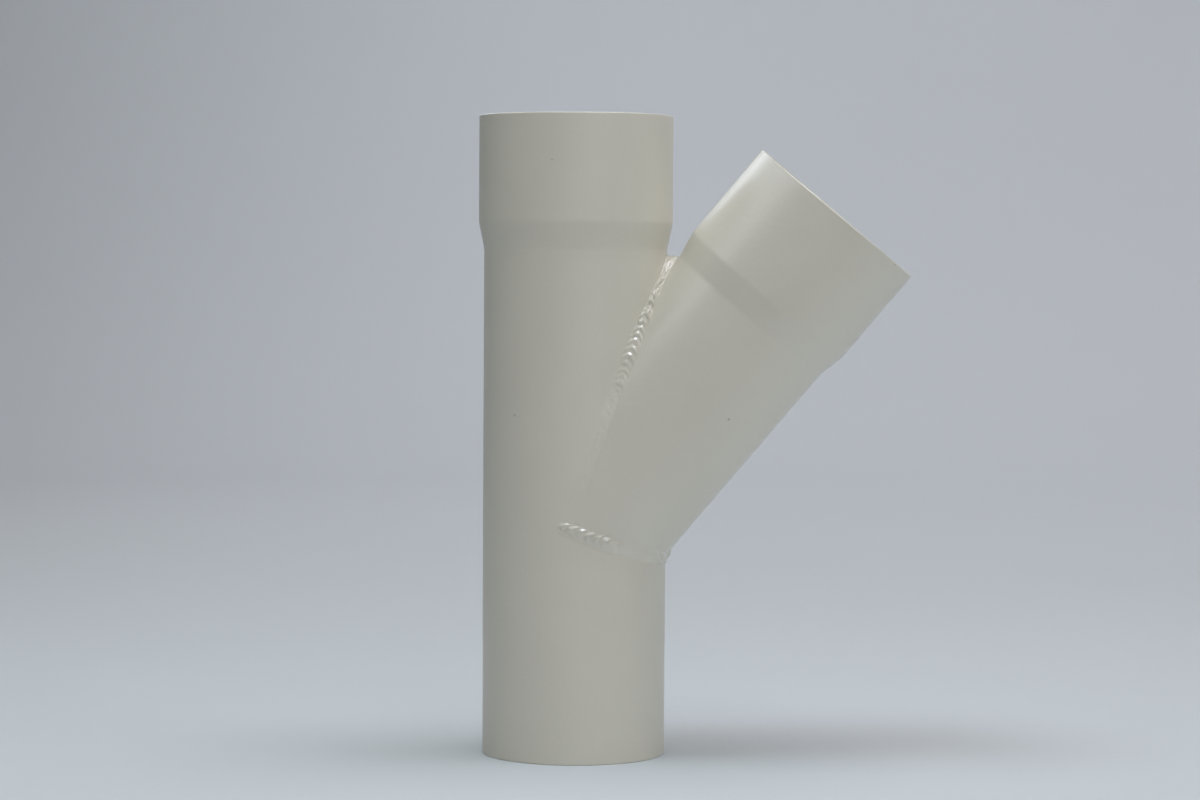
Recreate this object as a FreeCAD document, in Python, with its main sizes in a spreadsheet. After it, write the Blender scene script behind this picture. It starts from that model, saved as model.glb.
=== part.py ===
import FreeCAD, Part
import math
import os

import Sketcher

# Lateral wye of welded aluminium tube. Two tubes of one size meet at a slant: each has a swaged socket
# at its free end, and the straight tube's lower end is a plain spigot that plugs into the next socket.
# The straight tube has a right-angled V notch in its side and the branch is mitred to fill it, so that
# both cuts lie in the two planes that halve the angles between the axes. A rippled bead covers the seam.
# Frame: origin at the centre of the spigot's end, +Z up the straight tube, branch leaning to +X.

# Driving dimensions, in millimetres, degrees or plain ratios
SIZES = [
    ("pipe_diameter", 76.0, "outside diameter of both tubes"),
    ("wall_thickness", 2.0, "wall of both tubes, the same in the swaged sockets"),
    ("socket_clearance", 0.2, "gap on each side between a socket and the pipe pushed into it"),
    ("socket_depth", 44.0, "straight length of a socket's bore, from its mouth"),
    ("spigot_relief", 0.1, "how far the spigot's outside is sized down to slide into a coated socket"),
    ("spigot_taper", 4.0, "length over which the spigot widens to the pipe"),
    ("swage_angle", 11.5, "slope of the shoulder under a socket, from the tube's axis"),
    ("swage_radius", 10.0, "outside radius of the bends at both ends of the shoulder"),
    ("overall_height", 264.5, "length of the straight tube"),
    ("crossing_height", 96.2, "height at which the two axes cross"),
    ("branch_length", 168.0, "from the crossing of the axes to the branch's mouth"),
    ("branch_angle", 40.0, "angle between the two axes"),
    ("edge_break", 0.4, "chamfer on the cut tube ends, inside and out"),
    ("cut_margin", 1.0, "how far a cut runs past the tube's outside"),
    ("bead_width", 6.8, "width of the weld bead on the tubes' sides"),
    ("bead_crown", 0.9, "height of the weld bead on the tubes' sides"),
    ("crotch_leg", 6.6, "how far the bead reaches up each tube from the seam, in the crotch"),
    ("bead_root", 1.0, "how far the bead's raw form sinks into the tubes before it is cut to them"),
    ("ripple_pitch", 3.1, "distance from one ripple of the bead to the next"),
    ("ripple_depth", 0.3, "height of a ripple"),
    ("ripple_lean", 45.0, "slant of the ripples, which bends them into crescents"),
    ("lean_fade", 14.0, "length over which the slant dies out at the crotch and at the heel"),
]

# The bead's form, as plain ratios and counts
RIPPLE_RISE = 0.3  # share of the pitch in which a ripple climbs to its crest
FILL_GROWTH = 4  # how late the legs lengthen on the way to the crotch
CROWN_STEPS = 2  # flats on each half of the crown
CROWN_SHARE = 0.9  # share of the crown that is round before it dips into the tube
NOSE_SHARE = 0.6  # where the bead's rounded end starts to fall, in legs

Y_AXIS = FreeCAD.Vector(0, 1, 0)
Z_AXIS = FreeCAD.Vector(0, 0, 1)

# Points of a line or arc, and the sketch's own origin and axes, as constraints number them
START, END = 1, 2
ORIGIN, H_AXIS, V_AXIS = -1, -1, -2


def make_sheet(doc):
    sheet = doc.addObject("Spreadsheet::Sheet", "Sizes")
    for row, (alias, value, meaning) in enumerate(SIZES, start=1):
        sheet.set(f"A{row}", alias)
        sheet.set(f"B{row}", str(value))
        sheet.set(f"C{row}", meaning)
        sheet.setAlias(f"B{row}", alias)
    doc.recompute()
    return sheet


def flat_point(x, y):
    return FreeCAD.Vector(x, y, 0)


def origin_feature(body, role):
    return next(o for o in body.Origin.OriginFeatures if o.Role == role)


def add_sketch(body, name):
    """A sketch on the body's XZ plane: its x is the body's X and its y is the body's Z."""
    sketch = body.newObject("Sketcher::SketchObject", name)
    sketch.AttachmentSupport = (origin_feature(body, "XZ_Plane"), [""])
    sketch.MapMode = "FlatFace"
    return sketch


def bind(sketch, name, expression, *constraint):
    """Add a dimension to a sketch and tie it to the sheet."""
    index = sketch.addConstraint(Sketcher.Constraint(*constraint))
    sketch.renameConstraint(index, name)
    sketch.setExpression(f"Constraints.{name}", expression)


def relate(sketch, *constraints):
    for constraint in constraints:
        sketch.addConstraint(Sketcher.Constraint(*constraint))


def outer_form(body, sheet, length, length_expression):
    """The tube as a solid rod: straight, then the shoulder's two bends, then the socket to its mouth.

    The bends roll off a shoulder that runs side by side with the bore's taper, one wall apart.
    """
    pipe_r = sheet.pipe_diameter / 2
    socket_r = pipe_r + sheet.socket_clearance + sheet.wall_thickness
    bend = sheet.swage_radius
    slope = math.radians(sheet.swage_angle)
    straight = sheet.socket_depth - (bend - sheet.wall_thickness) * math.tan(slope / 2)
    socket_start = length - straight
    sloped = (socket_r - pipe_r - 2 * bend * (1 - math.cos(slope))) / math.sin(slope)
    pipe_end = socket_start - 2 * bend * math.sin(slope) - sloped * math.cos(slope)

    lower_bend = flat_point(pipe_r + bend, pipe_end)
    upper_bend = flat_point(socket_r - bend, socket_start)
    slope_foot = lower_bend + flat_point(-math.cos(slope), math.sin(slope)) * bend
    slope_head = upper_bend + flat_point(math.cos(slope), -math.sin(slope)) * bend

    sketch = add_sketch(body, body.Name + "_profile")
    floor, pipe, lower, slant, upper, socket, mouth, axis = sketch.addGeometry([
        Part.LineSegment(flat_point(0, 0), flat_point(pipe_r, 0)),
        Part.LineSegment(flat_point(pipe_r, 0), flat_point(pipe_r, pipe_end)),
        Part.ArcOfCircle(Part.Circle(lower_bend, Z_AXIS, bend), math.pi - slope, math.pi),
        Part.LineSegment(slope_foot, slope_head),
        Part.ArcOfCircle(Part.Circle(upper_bend, Z_AXIS, bend), -slope, 0),
        Part.LineSegment(flat_point(socket_r, socket_start), flat_point(socket_r, length)),
        Part.LineSegment(flat_point(socket_r, length), flat_point(0, length)),
        Part.LineSegment(flat_point(0, length), flat_point(0, 0)),
    ])
    relate(
        sketch,
        ("Coincident", floor, START, ORIGIN, START),
        ("Coincident", floor, END, pipe, START),
        ("Tangent", pipe, END, lower, END),
        ("Tangent", lower, START, slant, START),
        ("Tangent", slant, END, upper, START),
        ("Tangent", upper, END, socket, START),
        ("Coincident", socket, END, mouth, START),
        ("Coincident", mouth, END, axis, START),
        ("Coincident", axis, END, floor, START),
        ("Horizontal", floor),
        ("Vertical", pipe),
        ("Vertical", socket),
        ("Horizontal", mouth),
        ("Vertical", axis),
        ("Equal", lower, upper),
    )
    socket_radius = "Sizes.pipe_diameter / 2 + Sizes.socket_clearance + Sizes.wall_thickness"
    roll_off = "(Sizes.swage_radius - Sizes.wall_thickness) * tan(Sizes.swage_angle * 1 deg / 2)"
    bind(sketch, "pipe_radius", "Sizes.pipe_diameter / 2", "Distance", floor, pipe_r)
    bind(sketch, "socket_radius", socket_radius, "Distance", mouth, socket_r)
    bind(sketch, "bend_radius", "Sizes.swage_radius", "Radius", lower, bend)
    bind(sketch, "slope", "90 - Sizes.swage_angle", "Angle", slant, math.pi / 2 - slope)
    bind(sketch, "socket_straight", f"Sizes.socket_depth - {roll_off}", "Distance", socket, straight)
    bind(sketch, "length", length_expression, "Distance", axis, length)

    rod = body.newObject("PartDesign::Revolution", body.Name + "_outer")
    rod.Profile = sketch
    rod.ReferenceAxis = (sketch, ["V_Axis"])
    rod.Angle = 360
    body.Document.recompute()
    return rod


def names_where(items, kind, test):
    return [f"{kind}{number}" for number, item in enumerate(items, start=1) if test(item)]


def is_level(shape, level):
    """Whether a face or edge lies flat at one height of the body."""
    box = shape.BoundBox
    return abs(box.ZMin - level) < 1e-6 and abs(box.ZMax - level) < 1e-6


def turn_away(body, sketch, name):
    """Cut the sketch out of the tube, all the way round its axis."""
    before = body.Shape.Volume
    groove = body.newObject("PartDesign::Groove", name)
    groove.Profile = sketch
    groove.ReferenceAxis = (sketch, ["V_Axis"])
    groove.Angle = 360
    body.Document.recompute()
    if body.Shape.Volume >= before:
        raise RuntimeError(f"{name} cut nothing")
    return groove


def hollow(body, sheet, length, length_expression):
    """Bore the rod from end to end: the pipe's bore, a taper, and the socket that a pipe slides into."""
    bore_r = sheet.pipe_diameter / 2 - sheet.wall_thickness
    socket_r = sheet.pipe_diameter / 2 + sheet.socket_clearance
    slope = math.radians(sheet.swage_angle)
    taper_head = flat_point(socket_r, length - sheet.socket_depth)
    taper_foot = flat_point(bore_r, taper_head.y - (socket_r - bore_r) / math.tan(slope))

    sketch = add_sketch(body, body.Name + "_bore_profile")
    floor, bore, taper, socket, mouth, axis = sketch.addGeometry([
        Part.LineSegment(flat_point(0, 0), flat_point(bore_r, 0)),
        Part.LineSegment(flat_point(bore_r, 0), taper_foot),
        Part.LineSegment(taper_foot, taper_head),
        Part.LineSegment(taper_head, flat_point(socket_r, length)),
        Part.LineSegment(flat_point(socket_r, length), flat_point(0, length)),
        Part.LineSegment(flat_point(0, length), flat_point(0, 0)),
    ])
    relate(
        sketch,
        ("Coincident", floor, START, ORIGIN, START),
        ("Coincident", floor, END, bore, START),
        ("Coincident", bore, END, taper, START),
        ("Coincident", taper, END, socket, START),
        ("Coincident", socket, END, mouth, START),
        ("Coincident", mouth, END, axis, START),
        ("Coincident", axis, END, floor, START),
        ("Horizontal", floor),
        ("Vertical", bore),
        ("Vertical", socket),
        ("Horizontal", mouth),
        ("Vertical", axis),
    )
    bind(sketch, "bore_radius", "Sizes.pipe_diameter / 2 - Sizes.wall_thickness", "Distance", floor, bore_r)
    bind(sketch, "socket_radius", "Sizes.pipe_diameter / 2 + Sizes.socket_clearance",
         "Distance", mouth, socket_r)
    bind(sketch, "slope", "90 - Sizes.swage_angle", "Angle", taper, math.pi / 2 - slope)
    bind(sketch, "socket_depth", "Sizes.socket_depth", "Distance", socket, sheet.socket_depth)
    bind(sketch, "length", length_expression, "Distance", axis, length)

    return turn_away(body, sketch, body.Name + "_bore")


def size_spigot(body, sheet):
    """Size the straight tube's lower end down, over the length that goes into the next socket."""
    pipe_r = sheet.pipe_diameter / 2
    spigot_r = pipe_r - sheet.spigot_relief
    outside = pipe_r + sheet.cut_margin
    depth = sheet.socket_depth
    top = depth + sheet.spigot_taper
    sketch = add_sketch(body, "spigot_profile")
    under, beyond, over, taper, wall = sketch.addGeometry([
        Part.LineSegment(flat_point(spigot_r, 0), flat_point(outside, 0)),
        Part.LineSegment(flat_point(outside, 0), flat_point(outside, top)),
        Part.LineSegment(flat_point(outside, top), flat_point(pipe_r, top)),
        Part.LineSegment(flat_point(pipe_r, top), flat_point(spigot_r, depth)),
        Part.LineSegment(flat_point(spigot_r, depth), flat_point(spigot_r, 0)),
    ])
    relate(
        sketch,
        ("Coincident", under, END, beyond, START),
        ("Coincident", beyond, END, over, START),
        ("Coincident", over, END, taper, START),
        ("Coincident", taper, END, wall, START),
        ("Coincident", wall, END, under, START),
        ("PointOnObject", under, START, H_AXIS),
        ("Horizontal", under),
        ("Vertical", beyond),
        ("Horizontal", over),
        ("Vertical", wall),
    )
    bind(sketch, "spigot_radius", "Sizes.pipe_diameter / 2 - Sizes.spigot_relief",
         "DistanceX", ORIGIN, START, under, START, spigot_r)
    bind(sketch, "outside", "Sizes.pipe_diameter / 2 + Sizes.cut_margin",
         "DistanceX", ORIGIN, START, beyond, START, outside)
    bind(sketch, "pipe_radius", "Sizes.pipe_diameter / 2", "DistanceX", ORIGIN, START, over, END, pipe_r)
    bind(sketch, "depth", "Sizes.socket_depth", "Distance", wall, depth)
    bind(sketch, "top", "Sizes.socket_depth + Sizes.spigot_taper", "Distance", beyond, top)
    return turn_away(body, sketch, "spigot_sizing")


def break_edges(body, tube, levels):
    """Take off the sharp edges that the saw left at the tube's ends, inside and out."""
    edges = names_where(tube.Shape.Edges, "Edge", lambda e: any(is_level(e, at) for at in levels))
    chamfer = body.newObject("PartDesign::Chamfer", body.Name + "_ends")
    chamfer.Base = (tube, edges)
    chamfer.setExpression("Size", "min(Sizes.edge_break; Sizes.wall_thickness / 4)")
    body.Document.recompute()


def cut_through(body, sketch, name):
    """Cut the sketch right through the tube, both ways from the XZ plane."""
    before = body.Shape.Volume
    pocket = body.newObject("PartDesign::Pocket", name)
    pocket.Profile = sketch
    pocket.Type = "ThroughAll"
    pocket.Midplane = True
    body.Document.recompute()
    if body.Shape.Volume >= before:
        raise RuntimeError(f"{name} cut nothing")


def notch_run(body, sheet):
    """The V notch in the straight tube's side, its apex where the axes cross."""
    half = math.radians(sheet.branch_angle / 2)
    reach = sheet.pipe_diameter / 2 + sheet.cut_margin
    apex = flat_point(0, sheet.crossing_height)
    top = apex + flat_point(reach, reach / math.tan(half))
    low = apex + flat_point(reach, -reach * math.tan(half))
    sketch = add_sketch(body, "notch_profile")
    upper, outside, lower = sketch.addGeometry([
        Part.LineSegment(apex, top),
        Part.LineSegment(top, low),
        Part.LineSegment(low, apex),
    ])
    relate(
        sketch,
        ("Coincident", upper, END, outside, START),
        ("Coincident", outside, END, lower, START),
        ("Coincident", lower, END, upper, START),
        ("PointOnObject", upper, START, V_AXIS),
        ("Vertical", outside),
        ("Perpendicular", upper, lower),
    )
    bind(sketch, "apex_height", "Sizes.crossing_height", "DistanceY", ORIGIN, START, upper, START, apex.y)
    bind(sketch, "half_angle", "90 - Sizes.branch_angle / 2", "Angle", upper, math.pi / 2 - half)
    bind(sketch, "reach", "Sizes.pipe_diameter / 2 + Sizes.cut_margin",
         "DistanceX", upper, START, upper, END, reach)
    cut_through(body, sketch, "saddle_notch")


def mitre_branch(body, sheet):
    """The two mitres that leave the branch's foot as a right-angled wedge, its point on the axis."""
    half = math.radians(sheet.branch_angle / 2)
    reach = sheet.pipe_diameter / 2 + sheet.cut_margin
    point = flat_point(0, 0)
    throat = flat_point(-reach, reach / math.tan(half))
    throat_low = flat_point(-reach, -sheet.cut_margin)
    heel_low = flat_point(reach, -sheet.cut_margin)
    heel = flat_point(reach, reach * math.tan(half))
    sketch = add_sketch(body, "mitre_profile")
    long_cut, left, under, right, short_cut = sketch.addGeometry([
        Part.LineSegment(point, throat),
        Part.LineSegment(throat, throat_low),
        Part.LineSegment(throat_low, heel_low),
        Part.LineSegment(heel_low, heel),
        Part.LineSegment(heel, point),
    ])
    relate(
        sketch,
        ("Coincident", long_cut, START, ORIGIN, START),
        ("Coincident", long_cut, END, left, START),
        ("Coincident", left, END, under, START),
        ("Coincident", under, END, right, START),
        ("Coincident", right, END, short_cut, START),
        ("Coincident", short_cut, END, long_cut, START),
        ("Vertical", left),
        ("Horizontal", under),
        ("Vertical", right),
        ("Perpendicular", long_cut, short_cut),
    )
    reach_expression = "Sizes.pipe_diameter / 2 + Sizes.cut_margin"
    bind(sketch, "half_angle", "90 + Sizes.branch_angle / 2", "Angle", long_cut, math.pi / 2 + half)
    bind(sketch, "reach_left", reach_expression, "DistanceX", left, START, ORIGIN, START, reach)
    bind(sketch, "reach_right", reach_expression, "DistanceX", ORIGIN, START, right, START, reach)
    bind(sketch, "margin", "Sizes.cut_margin", "DistanceY", right, START, ORIGIN, START, sheet.cut_margin)
    cut_through(body, sketch, "saddle_mitre")


def make_run(doc, sheet):
    body = doc.addObject("PartDesign::Body", "run_pipe")
    body.Label = "run_pipe"
    height = sheet.overall_height
    rod = outer_form(body, sheet, height, "Sizes.overall_height")
    hollow(body, sheet, height, "Sizes.overall_height")
    tube = size_spigot(body, sheet)
    break_edges(body, tube, (0, height))
    notch_run(body, sheet)
    return body, rod


def make_branch(doc, sheet):
    body = doc.addObject("PartDesign::Body", "branch_pipe")
    body.Label = "branch_pipe"
    body.Placement = FreeCAD.Placement(FreeCAD.Vector(0, 0, sheet.crossing_height),
                                       FreeCAD.Rotation(Y_AXIS, sheet.branch_angle))
    body.setExpression("Placement.Base.z", "Sizes.crossing_height")
    body.setExpression("Placement.Rotation.Angle", "Sizes.branch_angle")
    length = sheet.branch_length
    rod = outer_form(body, sheet, length, "Sizes.branch_length")
    tube = hollow(body, sheet, length, "Sizes.branch_length")
    break_edges(body, tube, (length,))
    mitre_branch(body, sheet)
    return body, rod


class Seam:
    """The outer seam above or below the crossing: half an ellipse, from corner to corner over its peak.

    Its plane holds Y and the direction from the crossing to the peak, which is the crotch or the heel.
    Places on it are distances along it from the peak, less than 0 on the -Y side.
    """

    def __init__(self, towards_peak, peak, side):
        self.across = towards_peak.cross(Y_AXIS)
        self.ellipse = Part.Ellipse(towards_peak * peak, Y_AXIS * side, FreeCAD.Vector())
        self.half_length = self.ellipse.length(0, math.pi / 2)
        self.closing = math.sqrt(1 - (side / peak) ** 2)

    def at(self, place):
        """The point there, the way along, the way out, and how near the place is to the peak, 1 to 0."""
        angle = self.ellipse.parameterAtDistance(place, 0)
        point, along = self.ellipse.getD1(angle)
        along.normalize()
        out = along.cross(self.across)
        if out.dot(point) < 0:
            out = -out
        return point, along, out, math.cos(angle)


class Bead:
    """Weld metal along one seam, laid as ripples that each overlap the one before."""

    def __init__(self, sheet, seam, peak_leg, away_from_peak):
        self.seam = seam
        self.side_leg = sheet.bead_width / 2
        self.peak_leg = peak_leg
        self.radius = (self.side_leg ** 2 + sheet.bead_crown ** 2) / (2 * sheet.bead_crown)
        self.crown = sheet.bead_crown
        self.root = sheet.bead_root
        self.ripple = sheet.ripple_depth
        self.pitch = sheet.ripple_pitch
        self.fade = sheet.lean_fade
        self.lean = math.tan(math.radians(sheet.ripple_lean)) * (1 if away_from_peak else -1)
        self.crest_share = RIPPLE_RISE if away_from_peak else 1 - RIPPLE_RISE

    def outline(self, place, swell):
        """The bead's section, bowed towards or away from the peak by its slant and sunk into both tubes."""
        point, along, out, nearness = self.seam.at(place)
        slant = out - along * self.lean * max(-1, min(1, place / self.fade))
        leg = self.side_leg + (self.peak_leg - self.side_leg) * max(0, nearness) ** FILL_GROWTH
        wall_up = nearness * self.seam.closing
        wall_side = math.sqrt(1 - wall_up ** 2)
        spread = math.asin(leg * wall_side / self.radius)
        centre = leg * wall_up - self.radius * math.cos(spread)
        section = []
        for step in range(-CROWN_STEPS, CROWN_STEPS + 1):
            turn = CROWN_SHARE * spread * step / CROWN_STEPS
            reach = self.radius + swell
            section.append((centre + reach * math.cos(turn), reach * math.sin(turn)))
        toe_up = (leg + swell + self.root) * wall_up - self.root * wall_side
        toe_side = (leg + swell + self.root) * wall_side + self.root * wall_up
        section += [(toe_up, toe_side), (-2 * self.root, 0), (toe_up, -toe_side)]
        corners = [point + slant * up + self.seam.across * side for up, side in section]
        return Part.makePolygon(corners + corners[:1])

    def half(self):
        """Places and swells from the peak to just past a corner, where the bead ends in a round nose."""
        count = round(self.seam.half_length / self.pitch)
        step = self.seam.half_length / count
        places = []
        for ripple in range(count):
            places.append(((ripple + self.crest_share) * step, self.ripple))
            places.append(((ripple + 1) * step, 0))
        nose = [(NOSE_SHARE * self.side_leg, -self.crown / 3), (self.side_leg, -self.crown - self.ripple)]
        return places + [(self.seam.half_length + past, swell) for past, swell in nose]

    def solid(self):
        half = self.half()
        places = [(-place, swell) for place, swell in reversed(half)] + half
        return Part.makeLoft([self.outline(place, swell) for place, swell in places], True, True)


def make_bead(doc, sheet, run_rod, branch_rod):
    """Both beads as one ring of weld metal, its underside face to face with the tubes."""
    side = sheet.pipe_diameter / 2
    half = math.radians(sheet.branch_angle / 2)
    to_crotch = FreeCAD.Vector(math.sin(half), 0, math.cos(half))
    to_heel = FreeCAD.Vector(math.cos(half), 0, -math.sin(half))
    upper = Seam(to_crotch, side / math.sin(half), side)
    lower = Seam(to_heel, side / math.cos(half), side)
    metal = Bead(sheet, upper, sheet.crotch_leg, True).solid()
    metal = metal.fuse(Bead(sheet, lower, sheet.bead_width / 2, False).solid())
    run_form = run_rod.Shape.copy()
    run_form.translate(FreeCAD.Vector(0, 0, -sheet.crossing_height))
    branch_form = branch_rod.Shape.copy()
    branch_form.rotate(FreeCAD.Vector(), Y_AXIS, sheet.branch_angle)
    bead = doc.addObject("Part::Feature", "weld_bead")
    bead.Label = "weld_bead"
    bead.Shape = metal.cut([run_form, branch_form])
    bead.Placement = FreeCAD.Placement(FreeCAD.Vector(0, 0, sheet.crossing_height), FreeCAD.Rotation())
    return bead


def check(doc):
    for item in doc.Objects:
        if "Invalid" in item.State or "Error" in item.State:
            raise RuntimeError(f"{item.Name} failed to build")
        if item.isDerivedFrom("Sketcher::SketchObject") and not item.FullyConstrained:
            raise RuntimeError(f"{item.Name} is not fully constrained")


def main():
    doc = FreeCAD.newDocument("lateral_wye")
    sheet = make_sheet(doc)
    run, run_rod = make_run(doc, sheet)
    branch, branch_rod = make_branch(doc, sheet)
    bead = make_bead(doc, sheet, run_rod, branch_rod)
    doc.recompute()
    check(doc)
    os.makedirs("parts", exist_ok=True)
    for piece in (run, branch, bead):
        shape = piece.Shape
        if shape.isNull() or not shape.isValid():
            raise RuntimeError(f"{piece.Label} has no valid shape")
        shape.exportStep(f"parts/{piece.Label}.step")
        print(f"{piece.Label}: {shape.Volume:.1f} mm3")


main()
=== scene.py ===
import math

import bmesh
import bpy
from bpy.props import FloatProperty, FloatVectorProperty, IntProperty, PointerProperty
from mathutils import Matrix, Vector, noise


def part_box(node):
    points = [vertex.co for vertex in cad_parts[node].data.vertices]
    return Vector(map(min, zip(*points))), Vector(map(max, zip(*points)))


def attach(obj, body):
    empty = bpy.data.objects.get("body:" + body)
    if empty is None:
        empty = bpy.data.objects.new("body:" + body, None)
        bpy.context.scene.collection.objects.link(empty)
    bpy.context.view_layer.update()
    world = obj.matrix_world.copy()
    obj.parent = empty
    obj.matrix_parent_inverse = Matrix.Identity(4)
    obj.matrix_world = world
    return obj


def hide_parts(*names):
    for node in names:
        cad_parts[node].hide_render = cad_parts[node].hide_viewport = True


# Looks of a welded lateral wye: two coated tubes, the rippled weld round their saddle, and a plain studio.
# Metres throughout. The straight tube stands on Z and the branch leans to +X.

bl_info = {
    "name": "Welded Lateral Wye",
    "version": (1, 0, 0),
    "blender": (4, 5, 0),
    "location": "View3D > Sidebar > Wye",
    "description": "Coated tubes, rippled weld and studio for a lateral pipe fitting",
    "category": "Object",
}

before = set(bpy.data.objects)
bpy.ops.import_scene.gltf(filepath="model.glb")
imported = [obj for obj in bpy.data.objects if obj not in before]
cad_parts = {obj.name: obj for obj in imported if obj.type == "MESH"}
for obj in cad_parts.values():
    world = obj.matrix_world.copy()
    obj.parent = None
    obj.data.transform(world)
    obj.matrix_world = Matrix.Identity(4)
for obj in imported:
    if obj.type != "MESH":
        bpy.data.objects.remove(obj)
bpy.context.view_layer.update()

MM = 0.001
UP = Vector((0, 0, 1))
SIDEWAYS = Vector((0, 1, 0))

# Points closer together than these become one
TUBE_MERGE = 0.002 * MM
BEAD_MERGE = 0.001 * MM
BACKDROP_MERGE = 0.1 * MM


def mixed(low, high, share):
    return low + (high - low) * share


def eased(share):
    share = min(1.0, max(0.0, share))
    return share * share * (3 - 2 * share)


def noise_share(place):
    """Smooth noise, from about 0 to 1."""
    return 0.5 + 0.5 * noise.noise(place)


# Sizes and colours that a user would change


def length_setting(name, description, metres, digits=5):
    return FloatProperty(name=name, description=description, default=metres, unit="LENGTH", precision=digits)


def angle_setting(name, description, degrees):
    return FloatProperty(name=name, description=description, default=math.radians(degrees), subtype="ANGLE")


def share_setting(name, description, share):
    return FloatProperty(name=name, description=description, default=share, min=0, max=1)


def colour_setting(name, description, colour):
    return FloatVectorProperty(
        name=name, description=description, default=(*colour, 1.0), subtype="COLOR", size=4, min=0, max=1)


class WyeTubeSizes(bpy.types.PropertyGroup):
    pipe_radius: length_setting("Pipe radius", "Outside radius of both tubes", 38.0 * MM)
    wall: length_setting("Wall", "Wall thickness of both tubes", 2.0 * MM)
    clearance: length_setting(
        "Socket clearance", "Gap on each side between a socket and the pipe in it", 0.2 * MM)
    socket_depth: length_setting("Socket depth", "Straight length of a socket's bore", 44.0 * MM)
    spigot_relief: length_setting(
        "Spigot relief", "How much smaller in radius the sized lower end is", 0.1 * MM, digits=6)
    spigot_taper: length_setting(
        "Spigot taper", "Length over which the sized end widens to the pipe", 4.0 * MM)
    swage_slope: angle_setting("Shoulder slope", "Slope of the shoulder under a socket, from the axis", 11.5)
    swage_bend: length_setting("Shoulder bend", "Outside radius of the shoulder's two bends", 10.0 * MM)
    lip: length_setting("Lip", "Radius to which the coating rounds the cut ends", 0.45 * MM)
    run_height: length_setting("Height", "Length of the straight tube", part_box("run_pipe")[1].z)
    crossing: length_setting("Crossing height", "Height at which the two axes cross", 96.2 * MM)
    branch_length: length_setting("Branch length", "From the crossing to the branch's mouth", 168.0 * MM)
    branch_angle: angle_setting("Branch angle", "Angle between the two axes", 40)
    facets: IntProperty(
        name="Facets", description="Flats round each tube", default=240, min=32, max=360)
    unevenness: length_setting("Unevenness", "How deep the tubes' slight dents are", 0.12 * MM, digits=6)
    cut_error: length_setting("Cut error", "How far the sawn mouths dip below true", 0.45 * MM, digits=6)


class WyeWeldSizes(bpy.types.PropertyGroup):
    width: length_setting("Width", "Width of the bead on the tubes' sides", 6.6 * MM)
    crown: length_setting("Crown", "Height of the bead on the tubes' sides", 0.8 * MM)
    crotch_leg: length_setting("Crotch leg", "How far the bead reaches up each tube in the crotch", 7.4 * MM)
    ripple_pitch: length_setting("Ripple pitch", "Distance from one ripple to the next", 3.0 * MM)
    ripple_depth: length_setting("Ripple depth", "Height of a ripple's step", 0.48 * MM, digits=6)
    ripple_bow: length_setting("Ripple bow", "How far a ripple's middle runs ahead of its ends", 2.4 * MM)
    toe_blend: length_setting(
        "Toe blend", "Softness with which the coating fills the bead's toes", 0.22 * MM, digits=6)


class WyeFinish(bpy.types.PropertyGroup):
    coat: colour_setting("Coat", "Colour of the powder coat", (0.70, 0.683, 0.597))
    # A darker, greyer colour that the bores take on deep inside
    deep_bore_colour: colour_setting(
        "Deep bore colour", "Colour where the coat is thin, deep in the bores", (0.46, 0.45, 0.42))
    gloss_roughness: share_setting("Coat roughness", "Roughness of the satin coat", 0.36)
    weld_roughness: share_setting("Weld roughness", "Roughness of the coat on the weld", 0.17)
    backdrop: colour_setting("Backdrop", "Colour of the floor and backdrop", (0.835, 0.902, 0.95))


class WyeStudio(bpy.types.PropertyGroup):
    floor_radius: length_setting("Floor radius", "Where the floor starts to turn up", 1.7)
    sweep_radius: length_setting("Sweep radius", "Radius of the turn from floor to wall", 1.3)
    wall_height: length_setting("Wall height", "Height of the round backdrop", 1.6)
    camera_distance: length_setting(
        "Camera distance", "From the straight tube's axis to the camera", 1321.2 * MM)
    camera_height: length_setting("Camera height", "Height of the camera over the floor", 202.4 * MM)
    camera_turn: angle_setting(
        "Camera side", "How far round the object the camera stands, towards the branch", 6.0)
    camera_lens: FloatProperty(
        name="Lens", description="Focal length for a 36 mm wide sensor, in millimetres", default=95.54)


# Materials

# Features per metre: orange peel is about 2.4 mm wide, grain 0.4 mm and a dust nib's cell 17 mm, and the
# coat's tone drifts in clouds of 36 mm and speckles of 0.7 mm
PEEL_SCALE = 420
GRAIN_SCALE = 2600
NIB_SCALE = 60
CLOUD_SCALE = 28
SPECKLE_SCALE = 1500

# Height of the coat's relief for a value of 1 from Powder Surface, and the coat's index of refraction
COAT_RELIEF = 0.05 * MM
COAT_IOR = 1.5

# How far a nib's rim and its flat top reach from its middle, as shares of its cell's width. A cell holds a
# nib when its random number is over the cutoff, and dust colours a nib by its share.
NIB_RIM = 0.05
NIB_TOP = 0.012
NIB_CUTOFF = 0.62
DUST = (0.2, 0.17, 0.12, 1)
DUST_SHARE = 0.45

# Depths below a tube's mouth between which the colour turns darker and greyer, and how far outside the bore's
# radius the darker colour holds in full and ends
BORE_TONE_START = 25 * MM
BORE_TONE_END = 95 * MM
BORE_TONE_NEAR = 0.3 * MM
BORE_TONE_FAR = 0.8 * MM

# Heights over which the weld's gloss turns into the tubes': just inside the lower end of the part that lies
# flush, and just above its upper end
FLUSH_FADE_LOW = 4 * MM
FLUSH_FADE_HIGH = 20 * MM


def add_node(tree, kind, place, inputs=None, **settings):
    """A shader node with its settings, and the values of the sockets that nothing feeds."""
    node = tree.nodes.new(kind)
    node.location = place
    for name, value in settings.items():
        setattr(node, name, value)
    for socket, value in (inputs or {}).items():
        node.inputs[socket].default_value = value
    return node


def wire(tree, *links):
    for source, target in links:
        tree.links.new(source, target)


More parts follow.
